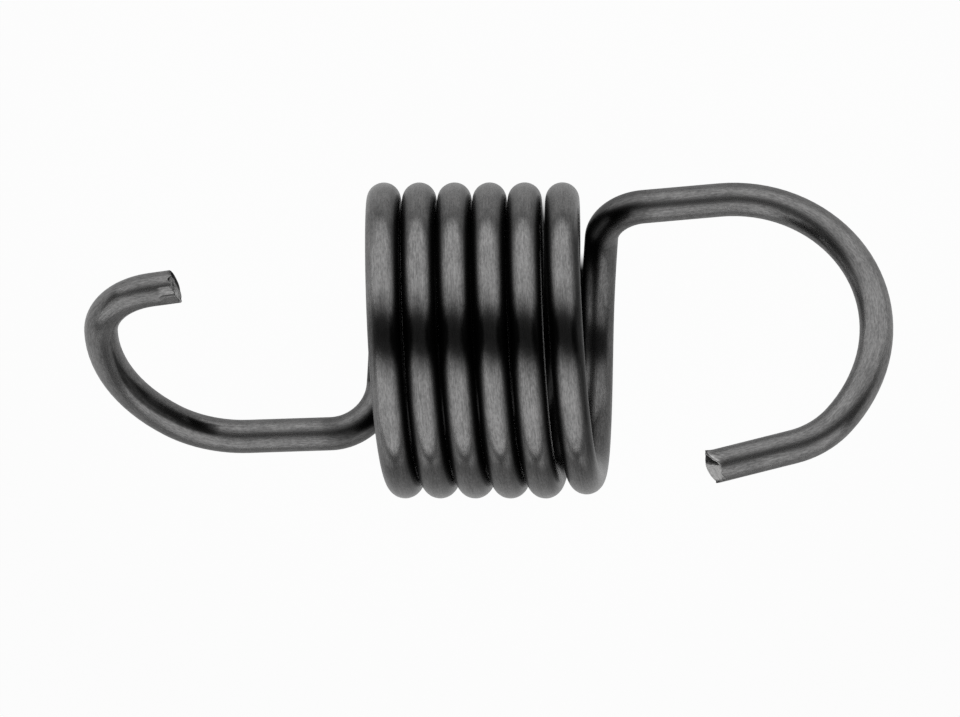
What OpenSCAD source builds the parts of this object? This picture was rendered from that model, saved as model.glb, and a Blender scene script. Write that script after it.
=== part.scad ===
// Extension spring: one length of round wire, wound right hand, with a side hook at each end.
// The axis of the coil runs along X, and the coil lies on the plane Z = 0 as it comes to rest.
// The origin is under the middle of the part. Angles about the axis start at +Y and turn toward +Z.
// A hook leaves the coil by a square bend, runs out along a shank, and closes in three arcs and a straight
// tail. Both hooks lie in planes through the axis.

/* [Wire] */
// Diameter of the wire
wire_d = 1.6; // [1.2:0.1:2]

/* [Coil] */
// Outside diameter of the coil
coil_od = 15; // [13:0.1:18]
// Gap between neighbouring turns
turn_gap = 0.07; // [0.05:0.01:0.3]
// Whole turns between the front of the first turn and the front of the last
whole_turns = 5; // [3:1:6]
// Lean of the turns from square to the axis, in degrees
turn_lean = 0.75; // [0:0.25:2]
// How far the start of the first turn stands off the coil
first_open = 0.12; // [0:0.01:0.3]

/* [Last turn] */
// How far the last turn stands off its even pitch at +Y
last_open_start = 0.12; // [0:0.01:0.3]
// The same at -Y, half a turn on
last_open_half = 0.27; // [0:0.01:0.5]
// The same underneath, three quarters of a turn on
last_open_under = 0.05; // [0:0.01:0.3]
// The same at the full turn, toward which the wire runs as it leaves
last_open_end = 0.47; // [0:0.01:0.8]
// How far the last turn is drawn in toward the axis at its middle
last_tuck = 0.2; // [0:0.01:0.4]

/* [Left hook] */
// Angle about the axis where the wire leaves the coil
left_leave = -114; // [-130:1:-100]
// Centreline radius of the bend out of the coil
left_bend_r = 2.55; // [2:0.05:3.2]
// Spread of the shank away from the axis, in degrees
left_spread = 3; // [0:0.5:8]
// Length of the straight shank
left_shank = 3.95; // [2:0.05:7]
// Centreline radius of the first arc of the hook
left_start_r = 5.1; // [4.5:0.1:6]
// Angle of the first arc
left_start_turn = 44; // [36:1:52]
// Centreline radius of the long arc of the hook
left_crown_r = 8.5; // [7.5:0.1:9.5]
// Angle of the long arc
left_crown_turn = 51.5; // [44:0.5:58]
// Centreline radius of the closing arc
left_close_r = 3.3; // [2.8:0.1:4]
// Angle of the closing arc
left_close_turn = 75.5; // [66:0.5:84]
// Straight length at the end of the wire
left_tail = 1.3; // [0.8:0.1:4]

/* [Right hook] */
// Angle about the axis, within the last turn, where the wire leaves the coil
right_leave = 311.5; // [300:0.5:322]
// Centreline radius of the bend out of the coil
right_bend_r = 2.15; // [1.8:0.05:2.8]
// Spread of the shank away from the axis, in degrees
right_spread = 5.5; // [0:0.5:8]
// Length of the straight shank
right_shank = 3.65; // [2:0.05:7]
// Centreline radius of the first arc of the hook, its longest
right_start_r = 6.9; // [6:0.1:7.8]
// Angle of the first arc
right_start_turn = 111.5; // [100:0.5:122]
// Centreline radius of the second arc
right_crown_r = 7.7; // [7:0.1:8.4]
// Angle of the second arc
right_crown_turn = 23.5; // [16:0.5:30]
// Centreline radius of the closing arc
right_close_r = 4.2; // [3.4:0.1:5]
// Angle of the closing arc
right_close_turn = 35; // [26:1:44]
// Straight length at the end of the wire
right_tail = 3.8; // [1:0.1:6]

/* [Cut ends] */
// Slant of the left cut from square to the wire, in degrees
left_cut_slant = 11; // [0:1:25]
// Side that the left cut faces, in degrees from +Z toward +Y
left_cut_side = 62; // [-90:1:90]
// Slant of the right cut from square to the wire, in degrees
right_cut_slant = 21; // [0:1:30]
// Side that the right cut faces, in degrees from +Z toward +Y
right_cut_side = -12; // [-90:1:90]
// Width of the rolled edge round each cut
cut_edge = 0.07; // [0.03:0.01:0.15]

/* [Hidden] */

wire_sides = 20;
segments_a_turn = 32;
arc_step = 360 / segments_a_turn;
slope_step = 0.05;

wire_r = wire_d / 2;
coil_r = coil_od / 2 - wire_r;
pitch = wire_d + turn_gap;
last_start = 360 * whole_turns;
coil_end = last_start + right_leave;

// Smooth step from 0 to 1 as u goes from 0 to 1
function eased(u) = let (v = min(max(u, 0), 1)) v * v * (3 - 2 * v);

function unit(v) = v / norm(v);

// The part of v that is square to the direction d, as a unit vector
function squared_to(v, d) = unit(v - (v * d) * d);

function last_of(list) = list[len(list) - 1];

// Distance of the turn at angle t from its place at the even pitch
function opening(t) =
    last_open_start * eased((t - last_start + 180) / 180)
    + (last_open_half - last_open_start) * eased((t - last_start) / 180)
    + (last_open_under - last_open_half) * eased((t - last_start - 180) / 90)
    + (last_open_end - last_open_under) * eased((t - last_start - 270) / 90)
    - first_open * pow(min(max((left_leave + 180 - t) / 180, 0), 1), 2);

// Radius of the centreline at angle t
function turn_r(t) =
    coil_r - last_tuck * pow(sin(180 * min(max((t - last_start) / right_leave, 0), 1)), 2);

// Centreline of the coil: a helix whose turns lean a little along the axis
function coil_point(t) =
    let (y = turn_r(t) * cos(t), z = turn_r(t) * sin(t))
    [pitch * t / 360 + opening(t) - y * tan(turn_lean), y, z];

function coil_direction(t) = unit(coil_point(t + slope_step) - coil_point(t - slope_step));

// Angles of the coil's sections: its two ends, and even steps that take in its lowest point
function coil_angles() =
    let (first = ceil(left_leave / arc_step) * arc_step)
    concat(
        [left_leave],
        [for (t = [first : arc_step : coil_end]) if (t > left_leave + 1 && t < coil_end - 1) t],
        [coil_end]);

// A state of the wire is its point, its direction, and the side that it bends toward.
// This is the state after a bend of radius r through the angle a.
function bent(state, r, a) = [
    state[0] + r * (sin(a) * state[1] + (1 - cos(a)) * state[2]),
    cos(a) * state[1] + sin(a) * state[2],
    cos(a) * state[2] - sin(a) * state[1]];

// States along one bend, without its start
function arc(state, r, a) = let (n = ceil(a / arc_step)) [for (i = [1 : n]) bent(state, r, a * i / n)];

// States along a chain of bends, each given as its radius and its angle
function arcs(state, bends, i = 0) =
    i == len(bends) ? [] :
    let (here = arc(state, bends[i][0], bends[i][1])) concat(here, arcs(last_of(here), bends, i + 1));

function straight(state, length) = [state[0] + length * state[1], state[1], state[2]];

// States along a hook. It leaves the coil at the angle leave about the axis, with the direction off, and
// runs toward +X for end = 1 or toward -X for end = -1. Its plane holds the axis and the shank.
function hook(leave, off, end, bend_r, spread, shank, bends, tail) =
    let (
        plane = leave + end * atan(bend_r / coil_r),
        outward = [0, cos(plane), sin(plane)],
        along = [end * cos(spread), 0, 0] + sin(spread) * outward,
        start = [coil_point(leave), off, squared_to(along, off)],
        bend = arc(start, bend_r, acos(off * along)),
        shank_start = [last_of(bend)[0], along, squared_to(-outward, along)],
        shank_end = straight(shank_start, shank),
        curve = arcs(shank_end, bends))
    concat(bend, [shank_end], curve, [straight(last_of(curve), tail)]);

left_hook = hook(left_leave, -coil_direction(left_leave), -1, left_bend_r, left_spread, left_shank,
    [[left_start_r, left_start_turn], [left_crown_r, left_crown_turn], [left_close_r, left_close_turn]],
    left_tail);

right_hook = hook(coil_end, coil_direction(coil_end), 1, right_bend_r, right_spread, right_shank,
    [[right_start_r, right_start_turn], [right_crown_r, right_crown_turn], [right_close_r, right_close_turn]],
    right_tail);

// The wire's point and direction at each section, from the left cut to the right cut
path = concat(
    [for (i = [len(left_hook) - 1 : -1 : 0]) [left_hook[i][0], -left_hook[i][1]]],
    [for (t = coil_angles()) [coil_point(t), coil_direction(t)]],
    [for (state = right_hook) [state[0], state[1]]]);

// One side vector for each section, carried along the wire without twist
sides = [
    for (i = 0, side = squared_to([0, 0, 1], path[0][1]); i < len(path);
        i = i + 1, side = squared_to(side, path[min(i, len(path) - 1)][1])) side];

// A vector of length 1 from the centreline toward each corner of section i
function corners(i) =
    let (a = sides[i], b = cross(path[i][1], a))
    [for (k = [0 : wire_sides - 1]) cos(360 * k / wire_sides) * a + sin(360 * k / wire_sides) * b];

// Section i of the full wire, square to it
function section(i) = [for (c = corners(i)) path[i][0] + wire_r * c];

// Section i with its corners slid along the wire onto the plane of a cut, which is set back by back
function cut_section(i, out, slant, side, r, back) =
    let (
        lean = squared_to([0, sin(side), cos(side)], out),
        face = cos(slant) * out + sin(slant) * lean)
    [for (c = corners(i)) path[i][0] + r * c - ((r * c * face) / (out * face) + back) * out];

n_path = len(path);
left_out = -path[0][1];
right_out = path[n_path - 1][1];

rings = concat(
    [cut_section(0, left_out, left_cut_slant, left_cut_side, wire_r - cut_edge, 0)],
    [cut_section(0, left_out, left_cut_slant, left_cut_side, wire_r, cut_edge)],
    [for (i = [1 : n_path - 2]) section(i)],
    [cut_section(n_path - 1, right_out, right_cut_slant, right_cut_side, wire_r, cut_edge)],
    [cut_section(n_path - 1, right_out, right_cut_slant, right_cut_side, wire_r - cut_edge, 0)]);

points = [for (ring = rings) each ring];
middle_x = (min([for (p = points) p[0]]) + max([for (p = points) p[0]])) / 2;

// The skin of the wire from ring to ring, in triangles, and a flat face at each end
skin = [
    for (j = [0 : len(rings) - 2], k = [0 : wire_sides - 1])
    let (
        near = j * wire_sides, far = near + wire_sides, next = (k + 1) % wire_sides,
        a = near + k, b = near + next, c = far + next, d = far + k)
    each [[a, c, b], [a, d, c]]];
left_face = [for (k = [0 : wire_sides - 1]) k];
right_face = [for (k = [wire_sides - 1 : -1 : 0]) (len(rings) - 1) * wire_sides + k];

module spring() {
    color([0.24, 0.24, 0.25])
        translate([-middle_x, 0, coil_od / 2])
            polyhedron(points, concat([left_face], skin, [right_face]), convexity = 12);
}

spring();
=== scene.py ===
# Extension spring of dark drawn wire: one finely swept wire with sheared ends stands in for the packed
# solid, lying on a white floor between two long soft lamps
import bpy
import math
import numpy as np
from mathutils import Matrix, Vector


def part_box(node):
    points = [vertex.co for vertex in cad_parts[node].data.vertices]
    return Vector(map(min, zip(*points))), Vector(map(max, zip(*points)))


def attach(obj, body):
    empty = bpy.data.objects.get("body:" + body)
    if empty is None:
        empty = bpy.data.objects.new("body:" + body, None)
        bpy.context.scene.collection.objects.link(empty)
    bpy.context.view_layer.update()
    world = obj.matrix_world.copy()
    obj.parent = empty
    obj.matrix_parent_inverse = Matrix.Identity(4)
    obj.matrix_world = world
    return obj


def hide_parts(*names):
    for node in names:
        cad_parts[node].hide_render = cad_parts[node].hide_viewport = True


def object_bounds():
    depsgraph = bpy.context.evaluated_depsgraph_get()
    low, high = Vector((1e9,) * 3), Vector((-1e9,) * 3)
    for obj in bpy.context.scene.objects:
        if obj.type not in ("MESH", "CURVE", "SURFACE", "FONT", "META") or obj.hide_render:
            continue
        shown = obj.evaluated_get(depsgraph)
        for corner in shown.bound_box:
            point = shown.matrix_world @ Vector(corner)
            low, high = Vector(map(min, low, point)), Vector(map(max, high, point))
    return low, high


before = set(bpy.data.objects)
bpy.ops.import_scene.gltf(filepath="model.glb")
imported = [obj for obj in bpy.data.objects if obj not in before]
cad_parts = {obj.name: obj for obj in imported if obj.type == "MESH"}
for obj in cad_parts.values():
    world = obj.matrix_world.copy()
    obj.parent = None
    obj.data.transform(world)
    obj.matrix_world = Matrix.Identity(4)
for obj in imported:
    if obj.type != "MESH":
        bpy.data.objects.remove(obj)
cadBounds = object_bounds()
mm = 0.001  # lengths below are in millimetres and angles in degrees, unless a note says otherwise
print("frame loaded")

# A pair of limits below is where something starts and where it is whole, and it falls where the second one
# is lower. Four limits are where it starts, is whole, starts to go and is gone.


# The wire and its coil

wire = {
    "diameter": 1.6,
    "sides": 96,  # corners round the wire
    "ringTurn": 3.6,  # degrees of bend from one ring to the next
    "straightStep": 0.4,  # distance between rings on the shanks
    "tailStep": 0.07,  # and on the two straight tails
    "faceRings": 22,  # rings from the middle of a cut face to its edge
    "tangentReach": 0.05,  # degrees each way over which the coil's direction is taken
    "guideTurn": 100.0,  # its sides are found from X plus a vector square to it, at this angle about X
    "mapLength": 200.0,  # length of wire to one unit of its UV map
    "mapSeam": 0.1,  # a face with corners this near the seam on both sides, in rounds, lies across it
}

coil = {
    "outside": 15.0,
    "turnGap": 0.07,
    "wholeTurns": 5,
    "lean": 0.75,
    "firstOpen": 0.12,  # how far the first turn's start stands off the coil
    "firstOver": 180.0,  # angle over which it closes up
    # how far the last turn stands off its even pitch, at angles from its start: a little at first, more
    # half a turn on, almost nothing at three quarters, and most where it runs toward the hook
    "lastOpen": ((-180.0, 0.0), (0.0, 0.12), (180.0, 0.27), (270.0, 0.05), (360.0, 0.47)),
    "lastTuck": 0.2,  # how far its middle is drawn in toward the axis
}

leftHook = {
    "leave": -114.0,  # angle about the axis where the wire leaves the coil
    "bendRadius": 2.55,
    "spread": 3.0,
    "shank": 3.95,
    "arcs": ((5.1, 44.0), (8.5, 51.5), (3.3, 75.5)),  # radius and angle of each
    "tail": 1.3,
}

rightHook = {
    "leave": 311.5,
    "bendRadius": 2.15,
    "spread": 5.5,
    "shank": 3.65,
    "arcs": ((6.9, 111.5), (7.7, 23.5), (4.2, 35.0)),
    "tail": 3.8,
}

wireRadius = wire["diameter"] / 2
coilRadius = coil["outside"] / 2 - wireRadius
pitch = wire["diameter"] + coil["turnGap"]
lastStart = 360.0 * coil["wholeTurns"]
coilEnd = lastStart + rightHook["leave"]


def dot(a, b):
    return np.sum(a * b, axis=-1, keepdims=True)


def unit(v):
    return v / np.linalg.norm(v, axis=-1, keepdims=True)


def squaredTo(v, direction):
    # the part of v that is square to the direction, at length 1
    return unit(v - dot(v, direction) * direction)


def eased(u):
    # smooth step: 3 u squared less 2 u cubed, with u held between 0 and 1
    u = np.clip(u, 0, 1)
    return u * u * (3 - 2 * u)


def rising(value, limits):
    # 0 at the first limit and 1 at the second, eased between them
    start, full = limits
    return eased((value - start) / (full - start))


def window(value, limits):
    # 0 to 1 and back to 0, eased, over the four limits
    start, full, going, gone = limits
    return rising(value, (start, full)) * rising(value, (gone, going))


def coilPoints(t):
    # a helix: x grows by the pitch each turn, plus the turn's opening, and leans with y; y and z go round
    # the axis. The last turn's opening is eased from each place in its list to the next, the first turn's
    # goes by a square, and the last turn's radius is less by the tuck times a sine squared
    opening = 0.0
    for (start, before), (stop, after) in zip(coil["lastOpen"], coil["lastOpen"][1:]):
        opening = opening + (after - before) * rising(t - lastStart, (start, stop))
    toStart = np.clip((leftHook["leave"] + coil["firstOver"] - t) / coil["firstOver"], 0, 1)
    opening = opening - coil["firstOpen"] * toStart ** 2
    tuck = np.sin(np.pi * np.clip((t - lastStart) / rightHook["leave"], 0, 1)) ** 2
    radius = coilRadius - coil["lastTuck"] * tuck
    y, z = radius * np.cos(np.radians(t)), radius * np.sin(np.radians(t))
    x = pitch * t / 360 + opening - y * math.tan(math.radians(coil["lean"]))
    return np.stack([x, y, z], axis=-1)


def coilDirections(t):
    # the helix's tangent, by the difference of two points a little way apart
    return unit(coilPoints(t + wire["tangentReach"]) - coilPoints(t - wire["tangentReach"]))


def bendRun(start, radius, turn):
    # an arc from a start of point, direction and inner side: the direction turns toward the inner side by
    # the angle a, and the point moves by radius times (sin a along the direction and 1 - cos a along the
    # inner side)
    point, direction, inner = start
    steps = math.ceil(turn / wire["ringTurn"])
    a = np.radians(turn) * np.arange(1, steps + 1)[:, None] / steps
    points = point + radius * (np.sin(a) * direction + (1 - np.cos(a)) * inner)
    directions = np.cos(a) * direction + np.sin(a) * inner
    inners = np.cos(a) * inner - np.sin(a) * direction
    return points, directions, (points[-1], directions[-1], inners[-1])


def straightRun(start, length, step):
    # equal steps from the start along its direction
    point, direction, inner = start
    steps = math.ceil(length / step)
    points = point + direction * length * np.arange(1, steps + 1)[:, None] / steps
    return points, np.repeat(direction[None], steps, axis=0), (points[-1], direction, inner)


def hookRun(hook, leave, off, end):
    # the wire from the coil to its cut: a square bend out of the coil, a shank, three arcs and a straight
    # tail, with the shank and the arcs in a plane through the axis; end is 1 toward +X and -1 toward -X
    leaveAt = coilPoints(np.array(leave))
    plane = math.radians(leave) + end * math.atan(hook["bendRadius"] / coilRadius)
    outward = np.array([0.0, math.cos(plane), math.sin(plane)])
    spread = math.radians(hook["spread"])
    along = np.array([end * math.cos(spread), 0.0, 0.0]) + math.sin(spread) * outward
    bendTurn = math.degrees(math.acos(float(off @ along)))
    points, directions, state = bendRun((leaveAt, off, squaredTo(along, off)), hook["bendRadius"], bendTurn)
    runs = [(points, directions)]
    state = (state[0], along, squaredTo(-outward, along))
    points, directions, state = straightRun(state, hook["shank"], wire["straightStep"])
    runs.append((points, directions))
    for radius, turn in hook["arcs"]:
        points, directions, state = bendRun(state, radius, turn)
        runs.append((points, directions))
    points, directions, state = straightRun(state, hook["tail"], wire["tailStep"])
    runs.append((points, directions))
    return np.concatenate([r[0] for r in runs]), np.concatenate([r[1] for r in runs])


def wirePath():
    # middles and directions of the rings from the left cut to the right one, with the angles about the axis
    # of those in the coil, and their slice
    start, end = leftHook["leave"], coilEnd
    leftPoints, leftDirections = hookRun(leftHook, start, -coilDirections(np.array(start)), -1)
    rightPoints, rightDirections = hookRun(rightHook, end, coilDirections(np.array(end)), 1)
    turns = np.linspace(start, end, math.ceil((end - start) / wire["ringTurn"]))
    points = np.concatenate([leftPoints[::-1], coilPoints(turns), rightPoints])
    directions = np.concatenate([-leftDirections[::-1], coilDirections(turns), rightDirections])
    return points, directions, turns, slice(len(leftPoints), len(leftPoints) + len(turns))


def carriedSides(directions):
    # one side vector at each ring, carried along the wire without twist: a fixed vector squared to each
    # direction turns against the carried one by a small angle at each step, and their running sum is taken
    # off again
    guide = math.radians(wire["guideTurn"])
    side = squaredTo(np.array([1.0, math.cos(guide), math.sin(guide)]), directions)
    here, there = directions[:-1], directions[1:]
    carried = side[:-1] - dot(side[:-1], there) / (1 + dot(here, there)) * (here + there)
    across = np.cross(there, side[1:])
    stepTurn = np.arctan2(dot(carried, across), dot(carried, side[1:]))
    turn = np.concatenate([np.zeros((1, 1)), np.cumsum(stepTurn, axis=0)])
    return np.cos(turn) * side + np.sin(turn) * np.cross(directions, side)


# Painted shade: dark colour where the wire faces its neighbours, inside the coil and in both bends, and
# painted dark reflections along the top of the coil and inside the left hook

paintedShade = {
    "left": 0.12,  # share of the steel's colour left under the painted shade
    # between the turns
    "facing": (0.24, 0.87),  # sideways part of the surface's direction
    "neighbour": (330.0, 370.0),  # angle from an end of the coil at which the next turn lies beside the wire
    "lastTurn": (25.0, 45.0, 130.0, 160.0),  # angles on the last turn where it faces the hook
    "top": (69.0, 80.0, 84.0, 96.0),  # angles about the axis where it lies wider along the top of the coil, as a painted dark reflection
    "topWider": 0.45,
    "topShare": 0.45,  # share of it there, right across the wire: painted dark reflection
    # inside the coil
    "inward": (0.1, 0.6),  # part of the surface's direction toward the axis
    "openFrom": 170.0,  # angle on the last turn from which its inside is open to view
    "openShare": 0.35,  # share of it from there
    # in the bends
    "bends": 0.15,  # share of it all round the wire
    "bendFrom": (-1.0, 0.5),  # distance past the shank
    "bendFacing": (-0.3, 0.3),  # part of the surface's direction toward the coil, for the rest of it
    "bendOuter": 0.8,  # how much of that is gone where it faces away from the axis
    "outer": (0.1, 0.7),  # part of the surface's direction away from the axis, for that
    "leftReach": 2.0,  # how far it fades out along the coil from each bend
    "rightReach": 8.0,
    # the painted dark reflection inside the left hook, as a streak
    "streak": 0.9,  # its share
    "streakAlong": (3.9, 7.2, 15.2, 15.9),  # distances from the cut
    "streakAround": (-2.0, 8.0, 39.0, 48.0),  # angles from straight up toward the inside
    "streakNarrow": 38.0,  # how much narrower it is at its start
    "streakNarrowAt": (11.0, 5.0),  # distances from the cut
}

# The crests of the turns made brighter: partly rubbed by the winding tools, partly a painted highlight

crestWearAndSheen = {
    "outward": (0.75, 1.0),  # part of the surface's direction away from the axis
    "rubbed": 0.07,
}


def fromAxis(turns, corners):
    # the part of each corner's direction that points away from the coil's axis
    turns = np.radians(turns)[:, None]
    return corners[..., 1] * np.cos(turns) + corners[..., 2] * np.sin(turns)


def beside(fromEnd):
    # how far a neighbouring turn lies beside the wire, by the angle from the coil's end
    start, full = paintedShade["neighbour"]
    return np.clip((fromEnd - start) / (full - start), 0, 1)[:, None]


def paintedShadeBetweenTurns(turns, corners):
    # painted shade: how far a corner faces a neighbouring turn: its sideways part, eased from 0 to 1, where
    # there is a turn that side, or its part toward the axis if that is more. Along the top of the coil it
    # starts and is whole at smaller sideways parts, and has at least a share right across the wire, as a
    # painted dark reflection
    inLast = turns - lastStart
    ahead = np.maximum(beside(coilEnd - turns), window(inLast, paintedShade["lastTurn"])[:, None])
    behind = beside(turns - leftHook["leave"])
    sideways = corners[..., 0]
    onTop = window(turns % 360, paintedShade["top"])[:, None]
    facing = rising(np.abs(sideways) / (1 - paintedShade["topWider"] * onTop), paintedShade["facing"])
    inside = rising(-fromAxis(turns, corners), paintedShade["inward"])
    inside = inside * np.where(inLast < paintedShade["openFrom"], 1, paintedShade["openShare"])[:, None]
    between = np.maximum(facing * np.where(sideways > 0, ahead, behind), inside)
    return np.maximum(between, paintedShade["topShare"] * onTop)


def bendShade(run, hook, corners, towardCoil, reach):
    # the painted shade in the bend out of the coil: a share all round it, growing to the whole where it faces
    # the coil and less where it faces away from the axis, from the end of the shank to some way along the
    # coil
    bendLength = hook["bendRadius"] * math.pi / 2
    arcsLong = sum(radius * math.radians(turn) for radius, turn in hook["arcs"])
    shankEnd = hook["tail"] + hook["shank"] + arcsLong
    along = rising(run - shankEnd, paintedShade["bendFrom"]) * rising(run - shankEnd - bendLength, (reach, 0))
    away = corners[..., 1] * math.copysign(1, math.cos(math.radians(hook["leave"])))
    facing = rising(corners[..., 0] * towardCoil, paintedShade["bendFacing"])
    facing = facing * (1 - paintedShade["bendOuter"] * rising(away, paintedShade["outer"]))
    return along[:, None] * (paintedShade["bends"] + (1 - paintedShade["bends"]) * facing)


def paintedHookReflection(run, points, directions, corners):
    # the painted dark reflection inside the left hook: one window over the distance from the cut, times one
    # over a corner's angle from straight up toward the middle of the hook, whose lower limits are further
    # round near the cut
    inHook = run < paintedShade["streakAlong"][3]
    upward = squaredTo(np.array([0.0, 0.0, 1.0]), directions)
    inward = np.cross(upward, directions)
    inward = inward * np.sign(dot(inward, points[inHook].mean(axis=0) - points))
    angle = np.degrees(np.arctan2(dot(corners, inward[:, None]), dot(corners, upward[:, None])))[..., 0]
    narrower = paintedShade["streakNarrow"] * rising(run, paintedShade["streakNarrowAt"])[:, None]
    angle = angle - narrower * (angle < paintedShade["streakAround"][2])
    return paintedShade["streak"] * window(run, paintedShade["streakAlong"])[:, None] * window(angle, paintedShade["streakAround"])


# The sheared ends. A cut is a height out along the wire over the disc of its section, where u runs toward
# +Y and v toward +Z and both are 1 at the wire's surface. Angles go from +Z toward +Y. A tone is how bright
# the steel is, from 0 to 1, and holds painted light and shade where the notes say so.

leftCut = {
    "plane": (-0.13, -0.17, 0.0),  # height in the middle, and its growth with u and with v
    "fade": 1.2,  # length over which the rings turn from square to the plane
    "teeth": (  # angle, half width and height of each rise or notch in the edge
        (48.0, 7.0, 0.19), (33.0, 5.0, -0.06), (18.0, 4.0, 0.05), (6.0, 4.0, -0.05), (-6.0, 4.0, 0.06),
        (-17.0, 5.0, 0.07), (-60.0, 10.0, 0.05), (-152.0, 14.0, -0.04), (-124.0, 10.0, -0.05)),
    "teethFade": 0.5,
    "rim": (0.8, 0.98),  # shares of the radius between which the face rises into its teeth
    "hollow": {"u": 0.4, "v": -0.5, "wide": 0.4, "deep": 0.12},
    "relief": 0.03,
    "seed": 11,
    "tone": 0.22,
    "bright": 0.45,  # added on the side toward -Y
    "brightAt": (0.1, -0.4),  # over u
    "mottle": 0.3,
    "dark": 0.9,  # painted shade, taken off along the rim's underside
    "darkReach": (0.7, 0.84),  # over the shares of the radius
    "darkAt": (-0.1, -0.4),  # over v
}

# two flats pressed into the wire beside the left cut
pinch = {
    "flats": ((-22.0, 0.87), (-44.0, 0.85)),  # the angle that each faces, and its distance in radii
    "fromEnd": (0.86, 0.62),  # distances from the end of the wire
    "crease": (-30.0, 3.5, 0.05),  # angle, half width and depth in radii of the mark between them
    "creaseFrom": (0.0, 0.05),  # distances from the end over which its painted shade sets in
    "bright": (-28.0, -24.0, 2.0, 10.0),  # angles between which the steel is rubbed bright, partly a painted highlight on the flats
    "rubbed": 0.22,
}

rightCut = {
    "plane": (0.06, 0.1, -0.32),
    "fade": 1.5,
    "teeth": (
        (53.0, 25.0, 0.31), (70.0, 12.0, 0.08), (29.0, 11.0, 0.12), (12.0, 7.0, 0.08), (-4.0, 6.0, 0.08),
        (-24.0, 11.0, 0.14), (-52.0, 7.0, -0.1), (-104.0, 7.0, 0.1), (92.0, 7.0, 0.1), (139.0, 15.0, -0.06),
        (160.0, 14.0, -0.03)),
    "teethFade": 0.75,
    "rim": (0.82, 0.97),
    "border": (0.11, -0.09),  # u of the line between the smooth part and the torn part, and its growth with v
    "borderShift": 0.03,  # how far the relief moves that line
    "borderWide": 0.09,  # u over which the torn part sinks
    "torn": 0.16,  # depth of the torn part
    "tornRelief": 0.05,
    "relief": 0.008,
    "seed": 23,
    "tone": 0.9,
    "mottle": 0.16,
    # the torn part's dark: partly the duller torn steel, partly painted shade in its hollow
    "tornDark": 0.95,
    "tornFar": (-0.1, -0.3),  # over v, where its dark runs on into the rim's underside as painted shade
    "burrs": ((92.0, 12.0, 0.9), (-105.0, 12.0, 0.9)),  # angle, half width and darkness of each on the face
    "burrReach": (0.85, 0.95),  # over the shares of the radius
    "burrBehind": ((93.0, 8.0, 0.8), (-104.0, 8.0, 0.6)),  # the same on the wire behind it
    "under": 0.55,  # painted shade: darkness of the rim's underside
    "underReach": (0.78, 0.9),
    "underAt": (-102.0, -94.0, -52.0, -42.0),
    # angle, half width and rise in radii of the rim's outward swellings
    "lip": ((45.0, 30.0, 0.03), (93.0, 8.0, 0.06), (-104.0, 8.0, 0.03)),
    "lipLong": 0.13,
    "lipBright": (6.0, 14.0, 76.0, 84.0),  # angles between which it is rubbed bright, partly a painted highlight
    # how far the steel behind the lip is mottled, the size of the pattern in degrees and along the wire,
    # the distance over which it fades, and the angles over which it sets in
    "dents": {"share": 0.5, "turn": 20.0, "long": 1 / 3, "fade": 0.5, "from": (-5.0, 10.0), "seed": 31},
}

unevenness = {
    "waves": 14,
    "longest": 0.75,  # length of the first wave, in radii
    "shorter": 0.84,  # each next wave's length and height, as shares of the last one's
    "lower": 0.86,
    "calmed": 3.0,  # what their sum is divided by, to run from about -1 to 1
}


def waves(u, v, seed):
    # uneven relief: a sum of sine waves over the disc, each shorter and lower than the last, with headings
    # and phases drawn from the seed
    draw = np.random.default_rng(seed)
    total = np.zeros(np.broadcast(u, v).shape)
    for step in range(unevenness["waves"]):
        heading, phase = draw.uniform(0, 2 * np.pi, 2)
        length = unevenness["longest"] * unevenness["shorter"] ** step
        across = (u * np.cos(heading) + v * np.sin(heading)) / length
        total += unevenness["lower"] ** step * np.sin(2 * np.pi * across + phase)
    return total / unevenness["calmed"]


def teeth(angle, rises):
    # the sum of the rises: each its height times e to the minus square of its angle away, in half widths
    total = np.zeros(angle.shape)
    for middle, width, height in rises:
        away = (angle - middle + 180) % 360 - 180
        total += height * np.exp(-(away / width) ** 2)
    return total


def planeHeight(cut, u, v):
    middle, acrossSlope, towardSlope = cut["plane"]
    return middle + acrossSlope * u + towardSlope * v


def leftFaceShape(u, v):
    # height: the plane, less a hollow shaped as a bell, with waves and the teeth toward the rim. tone:
    # darkest along the rim's underside, as painted shade, and brightest on the side toward -Y
    cut = leftCut
    reach, angle = np.hypot(u, v), np.degrees(np.arctan2(u, v))
    toRim = rising(reach, cut["rim"])
    hollow = cut["hollow"]
    bell = np.exp(-((u - hollow["u"]) ** 2 + (v - hollow["v"]) ** 2) / hollow["wide"] ** 2)
    rough = waves(u, v, cut["seed"])
    height = planeHeight(cut, u, v) - hollow["deep"] * bell + cut["relief"] * rough * (1 - toRim)
    tone = cut["tone"] + cut["bright"] * rising(u, cut["brightAt"]) + cut["mottle"] * rough
    tone = tone - cut["dark"] * rising(reach, cut["darkReach"]) * rising(v, cut["darkAt"])
    return height + toRim * teeth(angle, cut["teeth"]), np.clip(tone, 0, 1)


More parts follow.
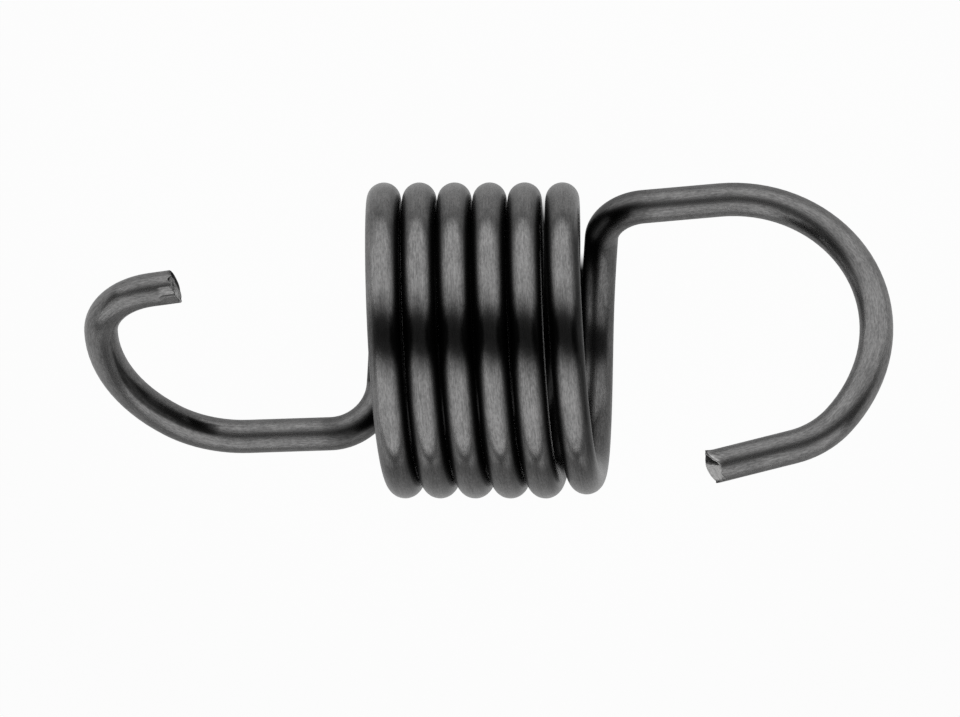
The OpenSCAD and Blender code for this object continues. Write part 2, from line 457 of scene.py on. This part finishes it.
def rightFaceShape(u, v):
    # height: the plane, with the torn part past the border sunk and rough, and the teeth as a thin lip at
    # the rim. tone: bright on the smooth part, and on the lip partly as a painted highlight; dark on the torn
    # part, partly as painted shade in its hollow, at the two burrs, and under the rim as painted shade
    cut = rightCut
    reach, angle = np.hypot(u, v), np.degrees(np.arctan2(u, v))
    toRim = rising(reach, cut["rim"])
    rough = waves(u, v, cut["seed"])
    pastBorder = u - cut["border"][0] - cut["border"][1] * v
    torn = eased((pastBorder + cut["borderShift"] * rough) / cut["borderWide"]) * (1 - toRim)
    height = planeHeight(cut, u, v) - torn * (cut["torn"] + cut["tornRelief"] * rough)
    height = height + cut["relief"] * rough * (1 - toRim) + toRim * teeth(angle, cut["teeth"])
    burrs = teeth(angle, cut["burrs"]) * rising(reach, cut["burrReach"])
    farTorn = eased(pastBorder / cut["borderWide"]) * rising(v, cut["tornFar"])
    underside = cut["under"] * rising(reach, cut["underReach"]) * window(angle, cut["underAt"])
    tone = cut["tone"] + cut["mottle"] * rough - cut["tornDark"] * np.maximum(torn, farTorn)
    return height, np.clip(tone - burrs - underside, 0, 1)


def pinched(angle, fromEnd):
    # the wire's radius, as a share, round a section: the nearest of 1 and each flat's distance over the
    # cosine of the angle away from it, less the crease, all fading in toward the end
    share = np.ones(np.broadcast(angle, fromEnd).shape)
    for middle, distance in pinch["flats"]:
        away = np.cos(np.radians(angle - middle))
        share = np.minimum(share, distance / np.maximum(away, distance))
    middle, width, depth = pinch["crease"]
    share = share - depth * np.exp(-((angle - middle) / width) ** 2)
    pressed = rising(fromEnd, pinch["fromEnd"])
    return 1 - pressed * (1 - share), pressed


def slid(cut, run, u, v, angle):
    # how far the rings near a cut slide out along the wire: by its plane, which fades over one length, and
    # by its teeth, which fade over a shorter one, both as squares
    plane = np.clip(1 - run / cut["fade"], 0, 1) ** 2 * planeHeight(cut, u, v)[None]
    return plane + np.clip(1 - run / cut["teethFade"], 0, 1) ** 2 * teeth(angle, cut["teeth"])[None]


def cutFrame(out, corners):
    # u, v and the angle of each corner of a section whose wire runs out at the cut
    toward = squaredTo(np.array([0.0, 0.0, 1.0]), out)
    across = np.cross(toward, out)
    across = across * np.sign(across[1])
    u, v = corners @ across, corners @ toward
    return u, v, np.degrees(np.arctan2(u, v))


def wearAndPaintedLight(leftRun, leftAngle, pressed, rightRun, rightAngle):
    # how much brighter or darker than plain wire it is beside the cuts. Left: bright on the flats, partly as
    # a painted highlight, and painted shade in the crease. Right: bright on the lip, partly as a painted
    # highlight, which fades by e to the minus fourth power, mottled behind it, and dark at the burrs
    tone = pinch["rubbed"] * pressed * window(leftAngle, pinch["bright"])
    middle, width = pinch["crease"][:2]
    crease = np.exp(-((leftAngle - middle) / width) ** 2)
    tone = tone - pressed * crease * rising(leftRun, pinch["creaseFrom"])
    nearLip = np.exp(-(rightRun / rightCut["lipLong"]) ** 4)
    dents = rightCut["dents"]
    mottled = waves(rightAngle[None] / dents["turn"], rightRun / dents["long"], dents["seed"])
    mottled = mottled * np.exp(-(rightRun / dents["fade"]) ** 2) * rising(rightAngle, dents["from"])
    tone = tone + nearLip * window(rightAngle, rightCut["lipBright"])
    tone = tone + (1 - nearLip) * dents["share"] * mottled
    return tone - nearLip * teeth(rightAngle, rightCut["burrBehind"])


def makeWire():
    # The wire is a grid of rings by corners. Each ring has a middle, an outward direction and a circle of
    # corners; a corner lies its share of the radius from the middle, plus an offset along the wire. The
    # middle rings run along the path, and the rings of each face shrink to its middle.
    points, directions, turns, inCoil = wirePath()
    sides = carriedSides(directions)
    ups = np.cross(directions, sides)
    angle = 2 * np.pi * np.arange(wire["sides"]) / wire["sides"]
    corners = np.cos(angle)[None, :, None] * sides[:, None] + np.sin(angle)[None, :, None] * ups[:, None]
    steps = np.linalg.norm(np.diff(points, axis=0), axis=1)
    leftRun = np.concatenate([[0.0], np.cumsum(steps)])  # distances of the rings from each end of the wire
    rightRun = leftRun[-1] - leftRun

    # the cut faces, by share of the radius from the middle to the edge
    faceRings = wire["faceRings"]
    share = (np.arange(faceRings) + 0.5) / faceRings
    leftU, leftV, leftAngle = cutFrame(-directions[0], corners[0])
    rightU, rightV, rightAngle = cutFrame(directions[-1], corners[-1])
    radius, pressed = pinched(leftAngle[None], leftRun[:, None])
    reach = share[:, None] * radius[:1]
    height, leftTone = leftFaceShape(reach * leftU, reach * leftV)
    leftFace = points[0] + reach[..., None] * wireRadius * corners[0] - height[..., None] * directions[0]
    reach = share[:, None]
    height, rightTone = rightFaceShape(reach * rightU, reach * rightV)
    rightFace = points[-1] + reach[..., None] * wireRadius * corners[-1] + height[..., None] * directions[-1]

    # the wire between them
    slide = slid(rightCut, rightRun[:, None], rightU, rightV, rightAngle)
    slide = slide - slid(leftCut, leftRun[:, None], leftU, leftV, leftAngle)
    swelling = np.exp(-(rightRun[:, None] / rightCut["lipLong"]) ** 2) * teeth(rightAngle, rightCut["lip"])
    radius = radius + swelling
    body = points[:, None] + wireRadius * radius[..., None] * corners + slide[..., None] * directions[:, None]
    bodyWearAndLight = wearAndPaintedLight(leftRun[:, None], leftAngle, pressed, rightRun[:, None], rightAngle)
    # the crests of the coil brighter: partly wear, partly a painted highlight
    bodyWearAndLight[inCoil] += crestWearAndSheen["rubbed"] * rising(fromAxis(turns, corners[inCoil]), crestWearAndSheen["outward"])

    rings = np.concatenate([leftFace, body, rightFace[::-1]])
    poles = np.stack([leftFace[0].mean(axis=0), rightFace[0].mean(axis=0)])
    tone = np.concatenate([leftTone, bodyWearAndLight, rightTone[::-1]])
    station = np.concatenate([np.zeros(faceRings), leftRun, np.full(faceRings, leftRun[-1])])
    reach = np.concatenate([share, np.ones(len(points)), share[::-1]])
    place = np.stack([
        reach[:, None] * wireRadius * np.cos(angle)[None],
        reach[:, None] * wireRadius * np.sin(angle)[None],
        np.repeat(station[:, None], wire["sides"], axis=1)], axis=-1)

    # painted shade and painted dark reflections, as shares
    shade = np.zeros(rings.shape[:2])
    onBody = shade[faceRings:-faceRings]
    onBody[inCoil] = paintedShadeBetweenTurns(turns, corners[inCoil])
    np.maximum(onBody, bendShade(leftRun, leftHook, corners, 1, paintedShade["leftReach"]), out=onBody)
    np.maximum(onBody, bendShade(rightRun, rightHook, corners, -1, paintedShade["rightReach"]), out=onBody)
    np.maximum(onBody, paintedHookReflection(leftRun, points, directions, corners), out=onBody)
    return rings, place, poles, shade, tone, leftRun[-1]


def placeInFrame(points, rings):
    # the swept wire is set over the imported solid: the middle of its length over the solid's, and its axis
    # at the height of the coil's outside radius over the solid's lowest point
    low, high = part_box("spring")
    middle = (rings[..., 0].min() + rings[..., 0].max()) / 2
    shift = np.array([
        (low[0] + high[0]) / 2 / mm - middle, 0.0, low[2] / mm + coil["outside"] / 2])
    return (points + shift) * mm


def gridMesh(name, rings, place, poles, layers):
    # quads between neighbouring rings, and a fan from each pole to the ring next to it, facing outwards
    count, sides = rings.shape[:2]
    index = np.arange(count * sides).reshape(count, sides)
    following = np.roll(index, -1, axis=1)
    quads = np.stack([index[:-1], following[:-1], following[1:], index[1:]], axis=-1).reshape(-1, 4)
    firstPole, lastPole = count * sides, count * sides + 1
    firstFan = np.stack([np.full(sides, firstPole), following[0], index[0]], axis=-1)
    lastFan = np.stack([np.full(sides, lastPole), index[-1], following[-1]], axis=-1)

    mesh = bpy.data.meshes.new(name)
    allPoints = np.concatenate([rings.reshape(-1, 3), poles])
    faceVertices = np.concatenate([quads.ravel(), firstFan.ravel(), lastFan.ravel()])
    sizes = np.concatenate([np.full(len(quads), 4), np.full(2 * sides, 3)])
    mesh.vertices.add(len(allPoints))
    mesh.vertices.foreach_set("co", placeInFrame(allPoints, rings).ravel())
    mesh.loops.add(len(faceVertices))
    mesh.loops.foreach_set("vertex_index", faceVertices)
    mesh.polygons.add(len(sizes))
    mesh.polygons.foreach_set("loop_start", np.concatenate([[0], np.cumsum(sizes)[:-1]]))
    mesh.polygons.foreach_set("use_smooth", np.ones(len(sizes), dtype=bool))

    # UV: along the wire in U, and once round it in V, where a face across the seam runs on past 1
    polePlaces = np.array([[0.0, 0.0, place[0, 0, 2]], [0.0, 0.0, place[-1, 0, 2]]])
    allPlaces = np.concatenate([place.reshape(-1, 3), polePlaces])
    around = np.concatenate([np.tile(np.arange(sides) / sides, count), [0.5, 0.5]])
    loopAround = around[faceVertices]
    faceOfLoop = np.repeat(np.arange(len(sizes)), sizes)
    wraps = np.zeros(len(sizes), dtype=bool)
    np.logical_or.at(wraps, faceOfLoop, loopAround > 1 - wire["mapSeam"])
    pastSeam = wraps[faceOfLoop] & (loopAround < wire["mapSeam"])
    uv = np.stack([allPlaces[faceVertices, 2] / wire["mapLength"], loopAround + pastSeam], axis=-1)
    layer = mesh.uv_layers.new(name="wireMap")
    layer.data.foreach_set("uv", uv.ravel())

    # the place on the wire, in millimetres: across in x and y, and along in z
    spot = mesh.attributes.new("wirePlace", "FLOAT_VECTOR", "POINT")
    spot.data.foreach_set("vector", allPlaces.ravel())
    for layerName, values in layers.items():
        poleValues = [values[0].mean(), values[-1].mean()]
        mesh.attributes.new(layerName, "FLOAT", "POINT").data.foreach_set(
            "value", np.concatenate([values.ravel(), poleValues]))
    mesh.update(calc_edges=True)
    mesh.validate()
    obj = bpy.data.objects.new(name, mesh)
    bpy.context.collection.objects.link(obj)
    return obj


rings, place, poles, shade, tone, wireLength = makeWire()
springWire = gridMesh("springWire", rings, place, poles, {"paintedShadeShare": shade, "toneAndPaintedLight": tone})
print("wire swept:", len(springWire.data.polygons), "faces,", round(wireLength, 1), "mm long")


# Finishes

drawnFinish = {
    "dark": (0.150, 0.149, 0.149),
    "pale": (0.285, 0.282, 0.281),
    "evenMix": 0.5,  # share of the pale where the patterns add nothing
    "contrast": (0.3, 0.7),  # values of a pattern's noise between which it goes from dark to pale
    # each pattern's cycles a millimetre across the wire and along it, its detail, and its share of the colour
    "lines": (15.0, 4.6, 1.0, 0.33),
    "longLines": (14.0, 0.8, 1.0, 0.18),
    "scratches": (16.0, 1.5, 0.0, 0.45),
    "scratched": (0.66, 0.8),  # values of their noise over which a scratch grows pale
    "grain": (12.0, 12.0, 1.0, 0.1),
    "clouds": (1.1, 1.1, 2.0, 0.18),
    "bumpDepth": 0.0016,  # millimetres
    "roughness": (0.31, 0.24),  # of the dark and of the pale
    "anisotropy": 0.8,
    "anisotropyTurn": 0.25,  # in whole turns from the wire's length
    "rubbed": (0.25, 2.3),  # share of its colour at the lowest tone (scored dark, painted shade) and the highest (rubbed, partly painted highlight)
}

shearedFinish = {
    "dark": (0.045, 0.044, 0.044),  # the torn part, partly painted shade in its hollow
    "pale": (0.82, 0.815, 0.81),  # the smooth part
    "contrast": (0.3, 0.7),
    "grain": (9.0, 9.0, 3.0, 0.14),
    "bumpDepth": 0.006,
    "roughness": (0.6, 0.45),
}


class Nodes:
    # short calls for the nodes of one material, lamp or world
    def __init__(self, owner):
        owner.use_nodes = True
        self.owner = owner
        self.tree = owner.node_tree
        self.tree.nodes.clear()

    def add(self, kind, links=None, **values):
        node = self.tree.nodes.new(kind)
        for key, value in values.items():
            setattr(node, key, value)
        for socket, source in (links or {}).items():
            target = node.inputs[socket]
            if isinstance(source, bpy.types.NodeSocket):
                self.tree.links.new(source, target)
            else:
                target.default_value = source
        return node

    def math(self, operation, *inputs):
        return self.add("ShaderNodeMath", dict(enumerate(inputs)), operation=operation).outputs[0]

    def spread(self, value, low, high, toLow, toHigh):
        return self.add("ShaderNodeMapRange", {
            "Value": value, "From Min": low, "From Max": high, "To Min": toLow, "To Max": toHigh}).outputs[0]

    def attribute(self, name, output="Fac"):
        return self.add("ShaderNodeAttribute", attribute_name=name).outputs[output]

    def mix(self, share, dark, pale, blend="MIX"):
        return self.add(
            "ShaderNodeMix", {0: share, 6: dark, 7: pale}, data_type="RGBA", blend_type=blend).outputs[2]

    def bump(self, height, depth):
        return self.add("ShaderNodeBump", {
            "Strength": 1.0, "Distance": depth * mm, "Height": height}).outputs[0]


def patternNoise(n, spot, spec):
    # noise with its own cycles across and along the wire
    across, along, detail = spec[:3]
    stretched = n.add("ShaderNodeMapping", {"Vector": spot, "Scale": (across, across, along)}).outputs[0]
    return n.add("ShaderNodeTexNoise", {"Vector": stretched, "Scale": 1.0, "Detail": detail}).outputs["Fac"]


def patternShare(n, spot, look, name):
    # the noise spread from minus its share to its share
    share = look[name][3]
    return n.spread(patternNoise(n, spot, look[name]), *look["contrast"], -share, share)


def drawnWireMaterial(look):
    # fine lines drawn along the wire, over a mottled oxide, darker under the painted shade and brighter where
    # it is rubbed or a highlight is painted
    n = Nodes(bpy.data.materials.new("drawnWire"))
    spot = n.attribute("wirePlace", "Vector")
    lines, longLines, grain, clouds = (
        patternShare(n, spot, look, name) for name in ("lines", "longLines", "grain", "clouds"))
    scratches = n.spread(
        patternNoise(n, spot, look["scratches"]), *look["scratched"], 0.0, look["scratches"][3])
    fine = n.math("ADD", n.math("ADD", lines, longLines), n.math("ADD", grain, scratches))
    mottle = n.math("ADD", n.math("ADD", fine, clouds), look["evenMix"])
    colour = n.mix(mottle, (*look["dark"], 1), (*look["pale"], 1))
    colour = n.mix(1.0, colour, n.spread(n.attribute("paintedShadeShare"), 0, 1, 1, paintedShade["left"]), "MULTIPLY")
    tone = n.attribute("toneAndPaintedLight")
    scored, rubbed = look["rubbed"]
    toneShare = n.math("MULTIPLY", n.spread(tone, -1, 0, scored, 1), n.spread(tone, 0, 1, 1, rubbed))
    colour = n.add(
        "ShaderNodeVectorMath", {0: colour, "Scale": toneShare}, operation="SCALE").outputs["Vector"]
    tangent = n.add("ShaderNodeTangent", direction_type="UV_MAP", uv_map="wireMap").outputs[0]
    shader = n.add("ShaderNodeBsdfPrincipled", {
        "Base Color": colour, "Roughness": n.spread(mottle, 0, 1, *look["roughness"]), "Metallic": 1.0,
        "Normal": n.bump(fine, look["bumpDepth"]), "Tangent": tangent,
        "Anisotropic": look["anisotropy"], "Anisotropic Rotation": look["anisotropyTurn"]})
    n.add("ShaderNodeOutputMaterial", {"Surface": shader.outputs[0]})
    return n.owner


def shearedSteelMaterial(look):
    # bare steel of the cut faces, between the torn part's dark and the smooth part's pale, with a fine grain
    # and painted shade
    n = Nodes(bpy.data.materials.new("shearedSteel"))
    grain = patternShare(n, n.attribute("wirePlace", "Vector"), look, "grain")
    shade = n.math("ADD", n.attribute("toneAndPaintedLight"), grain)
    shader = n.add("ShaderNodeBsdfPrincipled", {
        "Base Color": n.mix(shade, (*look["dark"], 1), (*look["pale"], 1)),
        "Roughness": n.spread(shade, 0, 1, *look["roughness"]), "Metallic": 1.0,
        "Normal": n.bump(grain, look["bumpDepth"])})
    n.add("ShaderNodeOutputMaterial", {"Surface": shader.outputs[0]})
    return n.owner


springWire.data.materials.append(drawnWireMaterial(drawnFinish))
springWire.data.materials.append(shearedSteelMaterial(shearedFinish))
faceCount = wire["faceRings"] * wire["sides"]
slots = np.zeros(len(springWire.data.polygons), dtype=np.int32)
slots[:faceCount] = 1
slots[-faceCount - 2 * wire["sides"]:] = 1
springWire.data.polygons.foreach_set("material_index", slots)
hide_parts("spring")
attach(springWire, "root")
print("finishes made")


# Studio

studio = {
    "floorRadius": 170.0,
    "floorSides": 128,
    "floorShown": 0.97,  # share of plain white in the floor as the camera sees it
    # the same as the metal shows it: everywhere, and what is added near the spring, toward both ends and
    # far behind, with the distances over which each goes or comes
    "mirrored": {
        "all": 0.18,
        "near": 0.14,
        "nearMiddle": -6.0,  # along Y
        "nearTo": (18.0, 40.0),
        "ends": 0.42,
        "endsFrom": (16.0, 27.0),
        "back": 0.74,
        "backFrom": (38.0, 60.0),
    },
    "sheet": {"colour": 0.6, "middle": 8.0, "edge": (18.0, 30.0)},  # pale sheet under the spring, toward +Y
    "table": 0.1,  # colour of the floor round the sheet, under its white
    # painted contact shadow: dark patches on the floor under the coil, by four limits along X and four along
    # Y:
    # under its closed turns, under the gap before its last turn, and under its last turn
    "paintedShadows": (
        ((-6.3, -4.8, 1.6, 2.8), (-6.6, -2.2, 2.2, 6.6)),
        ((-2.5, 2.0, 2.7, 3.5), (-5.6, -2.6, 4.8, 6.4)),
        ((1.4, 2.1, 4.2, 5.7), (-5.4, -2.8, 2.6, 3.6))),
    "overhead": 0.045,  # light from the rest of the room
    # pale light from both ends, near the horizon: parts of its direction along X over which it grows, and
    # upward over which it goes
    "endWalls": {"level": 0.5, "along": (0.7, 0.9), "gone": (0.06, 0.16)},
    "lampDistance": 300.0,
    "lampWidth": 1240.0,
    # angles from straight up, toward +Y
    "backLamp": {"from": 24.0, "full": 51.0, "to": 99.0, "radiance": 0.96},
    "frontLamp": {"from": -4.5, "full": -27.0, "to": -85.0, "radiance": 0.92},
}


def makeFloor():
    # a round floor: x and y go round a circle at the height of the solid's lowest point
    bottom = cadBounds[0][2]
    sides = studio["floorSides"]
    angle = 2 * np.pi * np.arange(sides) / sides
    edge = np.stack([np.cos(angle), np.sin(angle), 0 * angle], axis=-1) * studio["floorRadius"] * mm
    mesh = bpy.data.meshes.new("floor")
    mesh.from_pydata([*edge.tolist()], [], [list(range(sides))])
    mesh.transform(Matrix.Translation((0, 0, bottom)))
    floor = bpy.data.objects.new("floor", mesh)
    bpy.context.collection.objects.link(floor)

    n = Nodes(bpy.data.materials.new("whiteFloor"))
    spot = n.add("ShaderNodeTexCoord").outputs["Object"]
    axes = n.add("ShaderNodeSeparateXYZ", {0: spot}).outputs

    def over(value, limits, atFirst, atSecond):
        return n.spread(value, limits[0] * mm, limits[1] * mm, atFirst, atSecond)

    def distance(y):
        middle = (0, y * mm, bottom)
        return n.add("ShaderNodeVectorMath", {0: spot, 1: middle}, operation="DISTANCE").outputs["Value"]

    def within(value, limits):
        rise, fall = over(value, limits[:2], 0, 1), over(value, limits[2:], 1, 0)
        rise.node.interpolation_type = fall.node.interpolation_type = "SMOOTHSTEP"
        return n.math("MULTIPLY", rise, fall)

    # painted contact shadow: the floor's white is dimmed in the patches under the coil
    clear = 1.0
    for alongX, alongY in studio["paintedShadows"]:
        dark = n.math("MULTIPLY", within(axes["X"], alongX), within(axes["Y"], alongY))
        clear = n.math("MULTIPLY", clear, n.math("SUBTRACT", 1.0, dark))
    mirror = studio["mirrored"]
    near = over(distance(mirror["nearMiddle"]), mirror["nearTo"], mirror["near"], 0)
    ends = over(n.math("ABSOLUTE", axes["X"]), mirror["endsFrom"], 0, mirror["ends"])
    behind = over(axes["Y"], mirror["backFrom"], 0, mirror["back"])
    mirroredShare = n.math("ADD", n.math("ADD", near, n.math("MAXIMUM", ends, behind)), mirror["all"])
    path = n.add("ShaderNodeLightPath").outputs
    seen = n.math("MAXIMUM", path["Is Camera Ray"], path["Is Transmission Ray"])
    mirrored = n.math("MULTIPLY", path["Is Glossy Ray"], mirroredShare)
    share = n.math("ADD", n.math("MULTIPLY", seen, studio["floorShown"]), mirrored)
    sheet = studio["sheet"]
    colour = over(distance(sheet["middle"]), sheet["edge"], sheet["colour"], studio["table"])
    paper = n.add("ShaderNodeBsdfDiffuse", {"Color": colour}).outputs[0]
    white = n.add("ShaderNodeEmission", {"Color": (1, 1, 1, 1), "Strength": clear}).outputs[0]
    both = n.add("ShaderNodeMixShader", {0: share, 1: paper, 2: white}).outputs[0]
    n.add("ShaderNodeOutputMaterial", {"Surface": both})
    floor.data.materials.append(n.owner)


def softLamp(name, spec):
    # a flat lamp across the coil that fills the angles from and to, as seen from the spring, and reaches
    # its full radiance at the angle full
    start, full, stop = (math.radians(spec[key]) for key in ("from", "full", "to"))
    middle, half = (start + stop) / 2, abs(stop - start) / 2
    distance = studio["lampDistance"] * mm
    light = bpy.data.lights.new(name, "AREA")
    light.shape = "RECTANGLE"
    light.size = studio["lampWidth"] * mm
    light.size_y = 2 * distance * math.tan(half)
    light.energy = math.pi * light.size * light.size_y * spec["radiance"]
    soft = (math.tan(half) - math.tan(half - abs(full - start))) / (2 * math.tan(half))
    n = Nodes(light)
    onLamp = n.add("ShaderNodeNewGeometry").outputs["Parametric"]
    across = n.add("ShaderNodeSeparateXYZ", {0: onLamp}).outputs["Y"]
    strength = n.spread(across, 1, 1 - soft, 0, 1)
    glow = n.add("ShaderNodeEmission", {"Color": (1, 1, 1, 1), "Strength": strength})
    n.add("ShaderNodeOutputLight", {"Surface": glow.outputs[0]})
    lamp = bpy.data.objects.new(name, light)
    toward = Vector((0, math.sin(middle), math.cos(middle)))
    lamp.location = toward * distance + Vector((0, 0, coil["outside"] / 2 * mm))
    lamp.rotation_euler = (-toward).to_track_quat("-Z", "Y").to_euler()
    bpy.context.collection.objects.link(lamp)


def makeWorld():
    # the camera sees plain white; the metal sees a faint light all round, and pale walls at both ends near
    # the horizon
    world = bpy.data.worlds.new("studio")
    bpy.context.scene.world = world
    n = Nodes(world)
    walls = studio["endWalls"]
    axes = n.add("ShaderNodeSeparateXYZ", {0: n.add("ShaderNodeTexCoord").outputs["Generated"]}).outputs
    toEnd = n.spread(n.math("ABSOLUTE", axes["X"]), *walls["along"], 0, walls["level"])
    low = n.spread(axes["Z"], *walls["gone"], 1, 0)
    pale = n.math("MULTIPLY_ADD", toEnd, low, studio["overhead"])
    seen = n.math("MAXIMUM", n.add("ShaderNodeLightPath").outputs["Is Camera Ray"], pale)
    white = n.add("ShaderNodeBackground", {"Color": (1, 1, 1, 1), "Strength": seen}).outputs[0]
    n.add("ShaderNodeOutputWorld", {"Surface": white})


makeFloor()
softLamp("backLamp", studio["backLamp"])
softLamp("frontLamp", studio["frontLamp"])
makeWorld()
print("studio lit")


# Camera: nearly overhead, from far off

view = {
    "turn": 3.61,  # from straight above toward +X
    "tip": 5.84,  # from straight above toward +Y
    "distance": 568.1,
    "pixelsPerMm": 21.071,
    "axisAcross": 93.55,  # pixels from the picture's middle to the path's own start of x, to the left
    "axisUp": 18.065,  # pixels from the picture's middle up to the coil's axis
    "imageWidth": 960,
    "sensorWidth": 36.0,
    "clip": (20.0, 5000.0),
}


def makeCamera():
    # the picture's right, up and back directions in the part's frame, and the point that lies at its middle
    turn, tip = math.radians(view["turn"]), math.radians(view["tip"])
    right = Vector((math.cos(turn), -math.sin(tip) * math.sin(turn), -math.cos(tip) * math.sin(turn)))
    up = Vector((0, math.cos(tip), -math.sin(tip)))
    back = Vector((math.sin(turn), math.sin(tip) * math.cos(turn), math.cos(tip) * math.cos(turn)))
    scale = 1 / view["pixelsPerMm"]
    across = Vector((view["axisAcross"] * scale, 0, 0))
    pathStart = Vector((placeInFrame(np.zeros(3), rings) / mm).tolist())
    middle = pathStart + across - up * view["axisUp"] * scale
    camera = bpy.data.cameras.new("camera")
    camera.sensor_width = view["sensorWidth"]
    camera.lens = view["sensorWidth"] * view["distance"] * view["pixelsPerMm"] / view["imageWidth"]
    camera.clip_start, camera.clip_end = (limit * mm for limit in view["clip"])
    obj = bpy.data.objects.new("camera", camera)
    basis = Matrix((right, up, back)).transposed().to_4x4()
    obj.matrix_world = Matrix.Translation((middle + back * view["distance"]) * mm) @ basis
    bpy.context.collection.objects.link(obj)
    bpy.context.scene.camera = obj


makeCamera()
bpy.context.scene.view_settings.view_transform = "Standard"

print("scene done")
